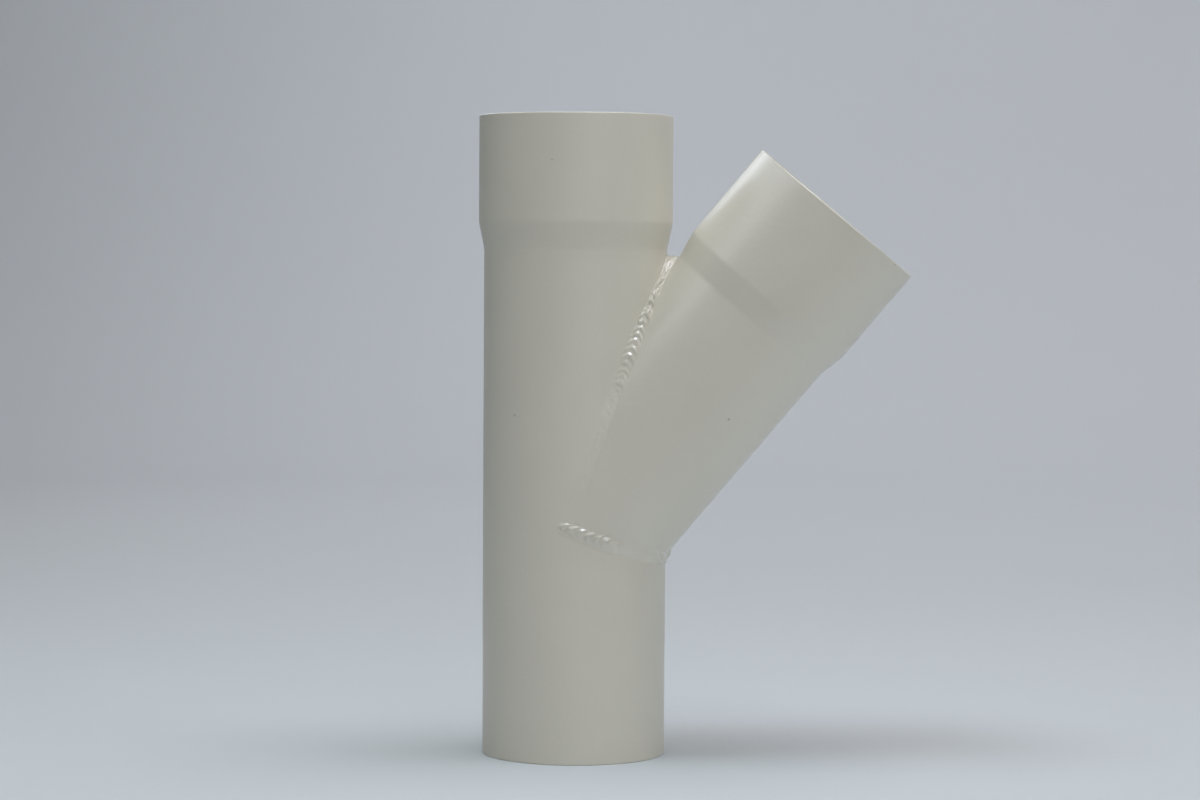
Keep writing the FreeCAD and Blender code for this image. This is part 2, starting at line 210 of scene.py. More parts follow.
def new_group(name, inputs, outputs):
    """A shader node group with float or colour sockets, and its two end nodes."""
    group = bpy.data.node_groups.new(name, "ShaderNodeTree")
    for label, kind, value in inputs:
        socket = group.interface.new_socket(name=label, in_out="INPUT", socket_type=kind)
        if value is not None:
            socket.default_value = value
    for label, kind in outputs:
        group.interface.new_socket(name=label, in_out="OUTPUT", socket_type=kind)
    start = add_node(group, "NodeGroupInput", (-900, 0))
    end = add_node(group, "NodeGroupOutput", (900, 0))
    return group, start, end


def powder_surface_group():
    """Relief of a cured powder coat: broad orange peel, fine grain and a few dust nibs."""
    group, start, end = new_group(
        "Powder Surface",
        [
            ("Place", "NodeSocketVector", None),
            ("Peel", "NodeSocketFloat", 1.0),
            ("Grain", "NodeSocketFloat", 0.25),
            ("Nibs", "NodeSocketFloat", 1.0),
        ],
        [("Height", "NodeSocketFloat"), ("Nib", "NodeSocketFloat")],
    )
    peel = add_node(group, "ShaderNodeTexNoise", (-600, 300), {"Scale": PEEL_SCALE, "Detail": 1.5})
    grain = add_node(group, "ShaderNodeTexNoise", (-600, 60), {"Scale": GRAIN_SCALE, "Detail": 2.0})
    cells = add_node(group, "ShaderNodeTexVoronoi", (-600, -200), {"Scale": NIB_SCALE, "Randomness": 1.0},
                     feature="F1")
    bump = add_node(group, "ShaderNodeMapRange", (-350, -160), {"From Min": NIB_RIM, "From Max": NIB_TOP},
                    interpolation_type="SMOOTHERSTEP")
    chosen = add_node(group, "ShaderNodeSeparateColor", (-350, -420))
    few = add_node(group, "ShaderNodeMath", (-130, -420), {1: NIB_CUTOFF}, operation="GREATER_THAN")
    nib = add_node(group, "ShaderNodeMath", (60, -260), operation="MULTIPLY")
    peel_part = add_node(group, "ShaderNodeMath", (60, 260), operation="MULTIPLY")
    grain_part = add_node(group, "ShaderNodeMath", (60, 60), operation="MULTIPLY_ADD")
    nib_part = add_node(group, "ShaderNodeMath", (300, 0), operation="MULTIPLY_ADD")
    wire(
        group,
        (start.outputs["Place"], peel.inputs["Vector"]),
        (start.outputs["Place"], grain.inputs["Vector"]),
        (start.outputs["Place"], cells.inputs["Vector"]),
        (cells.outputs["Distance"], bump.inputs["Value"]),
        (cells.outputs["Color"], chosen.inputs["Color"]),
        (chosen.outputs["Red"], few.inputs[0]),
        (bump.outputs["Result"], nib.inputs[0]),
        (few.outputs["Value"], nib.inputs[1]),
        (peel.outputs["Fac"], peel_part.inputs[0]),
        (start.outputs["Peel"], peel_part.inputs[1]),
        (grain.outputs["Fac"], grain_part.inputs[0]),
        (start.outputs["Grain"], grain_part.inputs[1]),
        (peel_part.outputs["Value"], grain_part.inputs[2]),
        (nib.outputs["Value"], nib_part.inputs[0]),
        (start.outputs["Nibs"], nib_part.inputs[1]),
        (grain_part.outputs["Value"], nib_part.inputs[2]),
        (nib_part.outputs["Value"], end.inputs["Height"]),
        (nib.outputs["Value"], end.inputs["Nib"]),
    )
    return group


def coat_tone_group():
    """Colour and roughness of the coat: slow drifts in both, dust in the nibs, a darker, greyer colour where
    masked.
    """
    group, start, end = new_group(
        "Coat Tone",
        [
            ("Place", "NodeSocketVector", None),
            ("Coat", "NodeSocketColor", None),
            ("Deep Bore Colour", "NodeSocketColor", None),
            ("Deep Bore Share", "NodeSocketFloat", 0.0),
            ("Nib", "NodeSocketFloat", 0.0),
            ("Roughness", "NodeSocketFloat", None),
            ("Drift", "NodeSocketFloat", 0.06),
        ],
        [("Color", "NodeSocketColor"), ("Roughness", "NodeSocketFloat")],
    )
    clouds = add_node(group, "ShaderNodeTexNoise", (-600, 200), {"Scale": CLOUD_SCALE, "Detail": 3})
    speckle = add_node(group, "ShaderNodeTexNoise", (-600, -60), {"Scale": SPECKLE_SCALE, "Detail": 1})
    centred = add_node(group, "ShaderNodeMath", (-380, 200), {1: 0.5}, operation="SUBTRACT")
    shift = add_node(group, "ShaderNodeMath", (-180, 200), {2: 1.0}, operation="MULTIPLY_ADD")
    fine = add_node(group, "ShaderNodeMapRange", (-380, -60), {"To Min": 0.975, "To Max": 1.02})
    both = add_node(group, "ShaderNodeMath", (0, 80), operation="MULTIPLY")
    bore_mix = add_node(group, "ShaderNodeMix", (0, 320), data_type="RGBA")
    toned = add_node(group, "ShaderNodeVectorMath", (220, 260), operation="SCALE")
    dust = add_node(group, "ShaderNodeMix", (450, 200), {"B": DUST}, data_type="RGBA")
    dust_share = add_node(group, "ShaderNodeMath", (220, 40), {1: DUST_SHARE}, operation="MULTIPLY")
    rough = add_node(group, "ShaderNodeMath", (220, -200), operation="MULTIPLY")
    wire(
        group,
        (start.outputs["Place"], clouds.inputs["Vector"]),
        (start.outputs["Place"], speckle.inputs["Vector"]),
        (clouds.outputs["Fac"], centred.inputs[0]),
        (centred.outputs["Value"], shift.inputs[0]),
        (start.outputs["Drift"], shift.inputs[1]),
        (speckle.outputs["Fac"], fine.inputs["Value"]),
        (shift.outputs["Value"], both.inputs[0]),
        (fine.outputs["Result"], both.inputs[1]),
        (start.outputs["Deep Bore Share"], bore_mix.inputs["Factor"]),
        (start.outputs["Coat"], bore_mix.inputs["A"]),
        (start.outputs["Deep Bore Colour"], bore_mix.inputs["B"]),
        (bore_mix.outputs["Result"], toned.inputs[0]),
        (both.outputs["Value"], toned.inputs["Scale"]),
        (start.outputs["Nib"], dust_share.inputs[0]),
        (dust_share.outputs["Value"], dust.inputs["Factor"]),
        (toned.outputs["Vector"], dust.inputs["A"]),
        (dust.outputs["Result"], end.inputs["Color"]),
        (start.outputs["Roughness"], rough.inputs[0]),
        (shift.outputs["Value"], rough.inputs[1]),
        (rough.outputs["Value"], end.inputs["Roughness"]),
    )
    return group


def shared_group(name):
    makers = {"Powder Surface": powder_surface_group, "Coat Tone": coat_tone_group}
    return bpy.data.node_groups.get(name) or makers[name]()


def coat_material(name, finish, roughness, bore=None, flush=None):
    """Satin powder coat, darker and greyer deep down a tube where bore says, and as matt on a weld where
    flush says.
    """
    material = bpy.data.materials.new(name)
    material.use_nodes = True
    tree = material.node_tree
    tree.nodes.clear()
    out = add_node(tree, "ShaderNodeOutputMaterial", (900, 0))
    skin = add_node(tree, "ShaderNodeBsdfPrincipled", (600, 0), {"IOR": COAT_IOR})
    place = add_node(tree, "ShaderNodeTexCoord", (-700, 0))
    surface = add_node(tree, "ShaderNodeGroup", (-300, -200), node_tree=shared_group("Powder Surface"))
    tone = add_node(tree, "ShaderNodeGroup", (150, 150),
                    {"Coat": finish.coat, "Deep Bore Colour": finish.deep_bore_colour, "Roughness": roughness},
                    node_tree=shared_group("Coat Tone"))
    bump = add_node(tree, "ShaderNodeBump", (350, -250), {"Strength": 1.0, "Distance": COAT_RELIEF})
    wire(
        tree,
        (place.outputs["Object"], surface.inputs["Place"]),
        (place.outputs["Object"], tone.inputs["Place"]),
        (surface.outputs["Nib"], tone.inputs["Nib"]),
        (surface.outputs["Height"], bump.inputs["Height"]),
        (tone.outputs["Color"], skin.inputs["Base Color"]),
        (tone.outputs["Roughness"], skin.inputs["Roughness"]),
        (bump.outputs["Normal"], skin.inputs["Normal"]),
        (skin.outputs["BSDF"], out.inputs["Surface"]),
    )
    if bore:
        wire(tree, (deep_bore_mask(tree, place, *bore), tone.inputs["Deep Bore Share"]))
    if flush:
        wire(tree, (flush_roughness(tree, place, roughness, *flush), tone.inputs["Roughness"]))
    return material


def flush_roughness(tree, place, roughness, coat_roughness, low, high):
    """Roughness by height: the tubes' own between low and high, where the weld lies flush in them."""
    parts = add_node(tree, "ShaderNodeSeparateXYZ", (-480, 420))
    over_low = add_node(tree, "ShaderNodeMapRange", (-300, 520),
                        {"From Min": low, "From Max": low + FLUSH_FADE_LOW}, interpolation_type="SMOOTHSTEP")
    under_high = add_node(tree, "ShaderNodeMapRange", (-300, 300),
                          {"From Min": high + FLUSH_FADE_HIGH, "From Max": high},
                          interpolation_type="SMOOTHSTEP")
    both = add_node(tree, "ShaderNodeMath", (-120, 420), operation="MULTIPLY")
    rough = add_node(tree, "ShaderNodeMapRange", (40, 420), {"To Min": roughness, "To Max": coat_roughness})
    wire(
        tree,
        (place.outputs["Object"], parts.inputs["Vector"]),
        (parts.outputs["Z"], over_low.inputs["Value"]),
        (parts.outputs["Z"], under_high.inputs["Value"]),
        (over_low.outputs["Result"], both.inputs[0]),
        (under_high.outputs["Result"], both.inputs[1]),
        (both.outputs["Value"], rough.inputs["Value"]),
    )
    return rough.outputs["Result"]


def deep_bore_mask(tree, place, turn, centre_height, mouth, bore_radius):
    """Mask that is 1 deep inside a tube and fades to 0 at its mouth, for a darker, greyer colour down the
    bore.
    """
    upright = add_node(tree, "ShaderNodeMapping", (-480, 420),
                       {"Location": (0, 0, centre_height), "Rotation": (0, turn, 0)}, vector_type="TEXTURE")
    parts = add_node(tree, "ShaderNodeSeparateXYZ", (-300, 420))
    level = add_node(tree, "ShaderNodeVectorMath", (-300, 600), {1: (1, 1, 0)}, operation="MULTIPLY")
    reach = add_node(tree, "ShaderNodeVectorMath", (-120, 600), operation="LENGTH")
    inside = add_node(tree, "ShaderNodeMapRange", (60, 600),
                      {"From Min": bore_radius + BORE_TONE_FAR, "From Max": bore_radius + BORE_TONE_NEAR})
    depth = add_node(tree, "ShaderNodeMapRange", (60, 380),
                     {"From Min": mouth - BORE_TONE_START, "From Max": mouth - BORE_TONE_END},
                     interpolation_type="SMOOTHSTEP")
    both = add_node(tree, "ShaderNodeMath", (240, 480), operation="MULTIPLY")
    wire(
        tree,
        (place.outputs["Object"], upright.inputs["Vector"]),
        (upright.outputs["Vector"], parts.inputs["Vector"]),
        (upright.outputs["Vector"], level.inputs[0]),
        (level.outputs["Vector"], reach.inputs[0]),
        (reach.outputs["Value"], inside.inputs["Value"]),
        (parts.outputs["Z"], depth.inputs["Value"]),
        (inside.outputs["Result"], both.inputs[0]),
        (depth.outputs["Result"], both.inputs[1]),
    )
    return both.outputs["Value"]


def backdrop_material(finish):
    """Matt paper with the faintest mottling and painted shading: painted shade at the far left, as from a
    room dark on that side, and painted shade near the object giving way to painted light further out, against
    the lamps' falloff.
    """
    material = bpy.data.materials.new("studio paper")
    material.use_nodes = True
    tree = material.node_tree
    skin = tree.nodes["Principled BSDF"]
    skin.inputs["Roughness"].default_value = 0.9
    skin.inputs["Specular IOR Level"].default_value = 0.15
    place = add_node(tree, "ShaderNodeTexCoord", (-900, 0))
    mottle = add_node(tree, "ShaderNodeTexNoise", (-700, 0), {"Scale": 1.6, "Detail": 3})
    spread = add_node(tree, "ShaderNodeMapRange", (-500, 0), {"To Min": 0.985, "To Max": 1.015})
    tint = add_node(tree, "ShaderNodeVectorMath", (-250, 0), {0: finish.backdrop[:3]}, operation="SCALE")
    parts = add_node(tree, "ShaderNodeSeparateXYZ", (-700, -300))
    # Painted shade: the paper's colour darkens towards the far left
    painted_left_shade = add_node(tree, "ShaderNodeMapRange", (-500, -300),
                        {"From Min": -2.2, "From Max": -0.1, "To Min": 0.2}, interpolation_type="SMOOTHSTEP")
    flat = add_node(tree, "ShaderNodeVectorMath", (-700, -520), {1: (1, 1, 0)}, operation="MULTIPLY")
    radius = add_node(tree, "ShaderNodeVectorMath", (-600, -520), operation="LENGTH")
    # Painted shade near the object and painted light further out, evening out the lamps' falloff
    painted_distance_shading = add_node(tree, "ShaderNodeMapRange", (-500, -520),
                    {"From Min": 0.3, "From Max": 2.3, "To Min": 0.84, "To Max": 1.05},
                    interpolation_type="SMOOTHSTEP")
    painted_shading = add_node(tree, "ShaderNodeMath", (-440, -300), operation="MULTIPLY")
    shade = add_node(tree, "ShaderNodeMath", (-380, -100), operation="MULTIPLY")
    wire(
        tree,
        (place.outputs["Object"], mottle.inputs["Vector"]),
        (place.outputs["Object"], parts.inputs["Vector"]),
        (parts.outputs["X"], painted_left_shade.inputs["Value"]),
        (mottle.outputs["Fac"], spread.inputs["Value"]),
        (spread.outputs["Result"], shade.inputs[0]),
        (place.outputs["Object"], flat.inputs[0]),
        (flat.outputs["Vector"], radius.inputs[0]),
        (radius.outputs["Value"], painted_distance_shading.inputs["Value"]),
        (painted_left_shade.outputs["Result"], painted_shading.inputs[0]),
        (painted_distance_shading.outputs["Result"], painted_shading.inputs[1]),
        (painted_shading.outputs["Value"], shade.inputs[1]),
        (shade.outputs["Value"], tint.inputs["Scale"]),
        (tint.outputs["Vector"], skin.inputs["Base Color"]),
    )
    return material


# Meshes

# How fast the tubes' dents change across and along them, and their mouths' dips round the rim
DENTS_ACROSS = 14
DENTS_ALONG = 9
DIPS_ROUND = 1.3
# Length below a mouth over which a dip fades out
DIP_REACH = 8 * MM


def add_object(name, form, material):
    """Turn a bmesh into a smooth object in the scene."""
    mesh = bpy.data.meshes.new(name)
    form.to_mesh(mesh)
    form.free()
    mesh.shade_smooth()
    mesh.materials.append(material)
    made = bpy.data.objects.new(name, mesh)
    bpy.context.scene.collection.objects.link(made)
    return made


def finish_piece(name, form, material, node):
    """A piece that rides on the body in place of its CAD node."""
    piece = add_object(name, form, material)
    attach(piece, "root")
    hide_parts(node)


def spin_about_z(form, geometry, steps):
    bmesh.ops.spin(form, geom=geometry, cent=(0, 0, 0), axis=UP, dvec=(0, 0, 0),
                   angle=2 * math.pi, steps=steps, use_merge=True, use_duplicate=False)


def add_run(points, start, end, step=5 * MM, edge=0.35 * MM):
    """Points along a straight length, with one close to each end so that the shading stays flat."""
    length = (end - start).length
    count = max(1, round(length / step))
    places = [0.0, edge] + [length * i / count for i in range(1, count)] + [length - edge, length]
    for place in sorted(p for p in places if 0 <= p <= length):
        points.append(start + (end - start) * (place / length))


def add_bend(points, centre, radius, first, last, count=7):
    for i in range(count + 1):
        angle = mixed(first, last, i / count)
        points.append(centre + Vector((math.cos(angle), 0, math.sin(angle))) * radius)


def wall_outline(sizes, length, relief):
    """The wall's section in the XZ plane: up the outside, over the lip, down the bore, round the foot."""
    slope, bend, lip, wall = sizes.swage_slope, sizes.swage_bend, sizes.lip, sizes.wall
    pipe, socket = sizes.pipe_radius, sizes.pipe_radius + sizes.clearance + sizes.wall
    bore, socket_bore = pipe - wall, socket - wall
    foot, top = pipe - relief, length - lip
    tight_bend, wide_bend = bend - wall, bend + wall
    straight = sizes.socket_depth - tight_bend * math.tan(slope / 2)
    socket_start = length - straight
    sloped = (socket - pipe - 2 * bend * (1 - math.cos(slope))) / math.sin(slope)
    pipe_start = sizes.socket_depth + sizes.spigot_taper if relief else lip
    pipe_end = socket_start - 2 * bend * math.sin(slope) - sloped * math.cos(slope)
    low = Vector((pipe + bend, 0, pipe_end))
    high = Vector((socket - bend, 0, socket_start))
    ray = Vector((math.cos(slope), 0, -math.sin(slope)))
    quarter = math.pi / 2

    points = []
    if relief:
        add_run(points, Vector((foot, 0, lip)), Vector((foot, 0, sizes.socket_depth)))
    add_run(points, Vector((pipe, 0, pipe_start)), Vector((pipe, 0, pipe_end)))
    add_bend(points, low, bend, math.pi, math.pi - slope)
    add_run(points, low - ray * bend, high + ray * bend)
    add_bend(points, high, bend, -slope, 0)
    add_run(points, Vector((socket, 0, socket_start)), Vector((socket, 0, top)))
    add_bend(points, Vector((socket - lip, 0, top)), lip, 0, quarter)
    add_bend(points, Vector((socket_bore + lip, 0, top)), lip, quarter, 2 * quarter)
    add_run(points, Vector((socket_bore, 0, top)), Vector((socket_bore, 0, socket_start)))
    add_bend(points, high, tight_bend, 0, -slope)
    add_run(points, high + ray * tight_bend, low - ray * wide_bend)
    add_bend(points, low, wide_bend, math.pi - slope, math.pi)
    add_run(points, Vector((bore, 0, pipe_end)), Vector((bore, 0, lip)))
    add_bend(points, Vector((bore + lip, 0, lip)), lip, math.pi, 3 * quarter)
    add_bend(points, Vector((foot - lip, 0, lip)), lip, 3 * quarter, 4 * quarter)
    return points


def spun_tube(sizes, length, seed, relief=0.0):
    """A tube turned about Z from its wall's section, then made slightly uneven as drawn tube is."""
    tube = bmesh.new()
    section = [tube.verts.new(point) for point in wall_outline(sizes, length, relief)]
    pairs = zip(section, section[1:] + section[:1])
    edges = [tube.edges.new(pair) for pair in pairs if (pair[0].co - pair[1].co).length > 0]
    spin_about_z(tube, section + edges, sizes.facets)
    bmesh.ops.remove_doubles(tube, verts=tube.verts, dist=TUBE_MERGE)
    bmesh.ops.recalc_face_normals(tube, faces=tube.faces)
    for vertex in tube.verts:
        flat = Vector((vertex.co.x, vertex.co.y, 0))
        place = Vector((flat.x * DENTS_ACROSS, flat.y * DENTS_ACROSS, vertex.co.z * DENTS_ALONG))
        dent = noise_share(place + Vector((seed, 0, 0)))
        vertex.co -= flat.normalized() * sizes.unevenness * dent
        dip = noise_share(flat.normalized() * DIPS_ROUND + Vector((0, seed, 3)))
        vertex.co.z -= sizes.cut_error * dip * eased((vertex.co.z - length + DIP_REACH) / DIP_REACH)
    return tube


def cut_tube(tube, point, normal, drop_behind):
    bmesh.ops.bisect_plane(tube, geom=tube.verts[:] + tube.edges[:] + tube.faces[:], dist=TUBE_MERGE,
                           plane_co=point, plane_no=normal, clear_inner=drop_behind)


def close_cut(tube):
    """Join the outer and inner rims of a cut across the wall."""
    rims = [edge for edge in tube.edges if edge.is_boundary]
    bmesh.ops.bridge_loops(tube, edges=rims)
    bmesh.ops.recalc_face_normals(tube, faces=tube.faces)


def seam_directions(sizes):
    """From the crossing towards the crotch and towards the heel. Each is square to the other's cut."""
    half = sizes.branch_angle / 2
    return Vector((math.sin(half), 0, math.cos(half))), Vector((math.cos(half), 0, -math.sin(half)))


class WYE_OT_run_tube(bpy.types.Operator):
    """Straight tube with its swaged socket and the notch that the branch fills"""

    bl_idname = "wye.run_tube"
    bl_label = "Straight Tube"

    def execute(self, context):
        sizes, finish = context.scene.wye_tubes, context.scene.wye_finish
        tube = spun_tube(sizes, sizes.run_height, seed=4.1, relief=sizes.spigot_relief)
        crossing = Vector((0, 0, sizes.crossing))
        directions = seam_directions(sizes)
        for normal in directions:
            cut_tube(tube, crossing, normal, drop_behind=False)
        notch = [face for face in tube.faces
                 if all((face.calc_center_median() - crossing).dot(way) > 0 for way in directions)]
        bmesh.ops.delete(tube, geom=notch, context="FACES")
        close_cut(tube)
        coat = coat_material("coated run", finish, finish.gloss_roughness,
                             bore=(0, 0, sizes.run_height, sizes.pipe_radius - sizes.wall))
        finish_piece("straight_tube", tube, coat, "run_pipe")
        return {"FINISHED"}


class WYE_OT_branch_tube(bpy.types.Operator):
    """Slanted tube with its swaged socket, mitred to a point that fills the notch"""

    bl_idname = "wye.branch_tube"
    bl_label = "Branch Tube"

    def execute(self, context):
        sizes, finish = context.scene.wye_tubes, context.scene.wye_finish
        tube = spun_tube(sizes, sizes.branch_length, seed=9.7)
        crossing = Vector((0, 0, sizes.crossing))
        lean = Matrix.Translation(crossing) @ Matrix.Rotation(sizes.branch_angle, 4, "Y")
        bmesh.ops.transform(tube, matrix=lean, verts=tube.verts)
        for normal in seam_directions(sizes):
            cut_tube(tube, crossing, normal, drop_behind=True)
        close_cut(tube)
        coat = coat_material("coated branch", finish, finish.gloss_roughness,
                             bore=(sizes.branch_angle, sizes.crossing, sizes.branch_length,
                                   sizes.pipe_radius - sizes.wall))
        finish_piece("branch_tube", tube, coat, "branch_pipe")
        return {"FINISHED"}


# Weld

# How the weld was laid, by distance from the crotch or heel in millimetres: share of the full crown, of the
# full ripples, of lumps from a hand that paused, and of the full width. The front of the upper seam starts
# lumpy in the crotch, settles into even ripples and runs flush down to the corner. The front of the lower
# seam runs flush from the heel and ends in separate bumps by the corner.
UPPER_FRONT = (
    (0, 0.3, 0.1, 0.15, 0.5),
    (6, 0.7, 0.4, 0.8, 0.5),
    (10, 1.0, 0.8, 1.7, 0.72),
    (26, 1.3, 0.9, 1.9, 0.88),
    (35, 1.35, 1.2, 1.5, 1.05),
    (40, 1.2, 1.5, 0.5, 1.2),
    (48, 1.0, 1.3, 0.4, 1.15),
    (56, 0.5, 0.5, 0.35, 1.1),
    (66, 0.05, 0.15, 0.3, 1.0),
    (84, 0.05, 0.04, 0.2, 0.9),
    (100, 0.18, 0.02, 0.2, 0.9),
    (116, 0.22, 0.0, 0.05, 0.8),
    (126, 0.22, 0.0, 0.05, 0.7),
)
UPPER_BACK = (
    (0, 0.5, 0.3, 0.5, 0.6),
    (8, 1.0, 0.9, 1.2, 0.8),
    (30, 1.1, 1.1, 0.8, 0.95),
    (90, 0.9, 1.0, 0.5, 1.0),
    (126, 0.9, 0.9, 0.5, 1.0),
)
LOWER_FRONT = (
    (0, 0.0, 0.2, 0.7, 1.0),
    (14, 0.0, 0.2, 0.5, 1.0),
    (24, 0.0, 0.06, 0.15, 1.1),
    (34, 0.0, 0.1, 0.15, 1.0),
    (39, 0.55, 1.2, 0.3, 0.95),
    (45, 0.65, 1.5, 0.4, 0.95),
    (55, 0.65, 1.5, 0.5, 0.9),
    (60, 0.5, 1.3, 0.5, 0.7),
)
LOWER_BACK = (
    (0, 0.3, 0.6, 0.7, 0.95),
    (30, 0.8, 0.9, 0.6, 1.0),
    (64, 1.1, 1.1, 0.6, 1.05),
)

# Slow changes along the bead: how large each one is, the length over which it changes, and its row of noise
TOE_SWELL = (0.14, 6 * MM, 1)
TOE_WANDER = (0.35 * MM, 16 * MM, 2)
CROWN_SWELL = (0.22, 11 * MM, 3)
RIPPLE_WANDER = (0.9 * MM, 8 * MM, 4)
SPILL_SWELL = (1.2, 5 * MM, 8)

# Steps in the noise, from one row to the next, from one ripple to the next, and from the middle to each side
ROW_STEP = 7.3
RIPPLE_STEP = 1.37
SIDE_STEP = 4.5

# The grid over the bead, in half widths from its middle, with the toes at 1: its edge, and where it starts
# to dive into the tubes' skin. Then how deep it dives there, and the least that a half width can be.
GRID_EDGE = 1.35
DIVE_START = 1.2
DIVE_DEPTH = 0.4 * MM
LEAST_HALF_WIDTH = 0.05 * MM

# Share of the grid that lies on top. The rest runs back underneath, at this depth in the tubes' walls.
TOP_SHARE = 0.86
ROOT_DEPTH = 0.7 * MM

# How far a bead runs on past its corner, how closely the peak's own width keeps to the peak, and the crown in
# the crotch and how closely that keeps to it
NOSE = 3.2 * MM
PEAK_FOCUS = 50
CROTCH_CROWN = 0.15 * MM
CROTCH_FOCUS = 6

# How deep the bead's skin lies under the tubes' true skin where it is flush, because their dents go about
# that deep, and where it is raised, and how many times softer its toes are where it is flush
FLUSH_DEPTH = 0.15 * MM
RAISED_DEPTH = 0.03 * MM
FLUSH_BLEND = 2.2

# A ripple's climb as a share of its length, the level about which it swings, how strong the ripples are and
# how much that differs from one to the next
RIPPLE_CLIMB = 0.4
RIPPLE_LEVEL = 0.35
RIPPLE_STRENGTH = 0.95
RIPPLE_SPREAD = 1.1

# Lumps change across the bead at their own rate, and carry smaller ones of this share and fineness
LUMP_LENGTH = 3.0 * MM
LUMP_HEIGHT = 0.72 * MM
LUMPS_ACROSS = 1.4
SMALL_LUMP_SHARE = 0.35
SMALL_LUMP_SCALE = 2.6

# The thin line of spill on the upper seam's front: its height, the millimetres from the crotch at which it
# starts, is full, wanes and ends, its usual swell, and its place and width in half widths of the bead
SPILL_HEIGHT = 0.3 * MM
SPILL_START, SPILL_FULL, SPILL_WANE, SPILL_END = 42, 47, 60, 68
SPILL_LEVEL = 0.8
SPILL_LINE = -0.96
SPILL_WIDTH = 0.09

# The lower bead's ripples are further apart, and it stands proud along its upper edge
LOWER_PITCH_SHARE = 1.2
LOWER_SKEW = 0.85

# Heights over the crossing between which the weld's front lies flush
FLUSH_FROM = -2 * MM
FLUSH_TO = 44 * MM


def read_marks(marks, distance):
    """The four shares at a distance, between the two marks round it."""
    place = abs(distance) / MM
    for before, after in zip(marks, marks[1:]):
        if place <= after[0]:
            share = eased((place - before[0]) / (after[0] - before[0]))
            return [mixed(low, high, share) for low, high in zip(before[1:], after[1:])]
    return marks[-1][1:]


def ripple(phase):
    """Height of one ripple from 0 to 1: a straight climb to its crest, then a longer eased fall."""
    share = phase - math.floor(phase)
    if share < RIPPLE_CLIMB:
        return share / RIPPLE_CLIMB
    return 1 - eased((share - RIPPLE_CLIMB) / (1 - RIPPLE_CLIMB))


def smooth_max(a, b, softness):
    return (a + b + math.sqrt((a - b) ** 2 + softness ** 2)) / 2


class SeamPath:
    """One outer seam, an ellipse round both tubes' outsides, by distance from its peak."""

    # The table of distances: its steps, and the angle from the peak that it reaches, just past the corner
    steps = 1500
    furthest = math.radians(100)

    def __init__(self, sizes, towards_peak, peak, branch_way):
        self.peak_way = towards_peak
        self.across = towards_peak.cross(SIDEWAYS)
        self.peak = peak
        self.side = sizes.pipe_radius
        self.crossing = Vector((0, 0, sizes.crossing))
        self.axes = (UP, branch_way)
        self.table = [0.0]
        last = self.offset(0)
        for step in range(1, self.steps + 1):
            point = self.offset(self.furthest * step / self.steps)
            self.table.append(self.table[-1] + (point - last).length)
            last = point
        self.half_length = self.distance_at(math.pi / 2)

    def offset(self, angle):
        return self.peak_way * (self.peak * math.cos(angle)) + SIDEWAYS * (self.side * math.sin(angle))

    def distance_at(self, angle):
        place = angle / self.furthest * self.steps
        low = min(int(place), self.steps - 1)
        return mixed(self.table[low], self.table[low + 1], place - low)

    def angle_at(self, distance):
        """Inverse of distance_at, for a signed distance."""
        goal, low, high = min(abs(distance), self.table[-1]), 0, self.steps
        while high - low > 1:
            middle = (low + high) // 2
            if self.table[middle] <= goal:
                low = middle
            else:
                high = middle
        share = (goal - self.table[low]) / (self.table[high] - self.table[low])
        return math.copysign(self.furthest * (low + share) / self.steps, distance)

    def section(self, distance):
        """The seam's point there, and the way out of both tubes in the seam's plane."""
        angle = self.angle_at(distance)
        along = SIDEWAYS * (self.side * math.cos(angle)) - self.peak_way * (self.peak * math.sin(angle))
        out = along.normalized().cross(self.across)
        point = self.offset(angle)
        return point, out if out.dot(point) > 0 else -out

    def wall_height(self, point, out):
        """How far out along the section both tubes reach."""
        height = -1.0
        for axis in self.axes:
            base = point - axis * point.dot(axis)
            way = out - axis * out.dot(axis)
            square, mid = way.dot(way), base.dot(way)
            gap = mid * mid - square * (base.dot(base) - self.side ** 2)
            if gap >= 0 and square > 0:
                height = max(height, (math.sqrt(gap) - mid) / square)
        return height


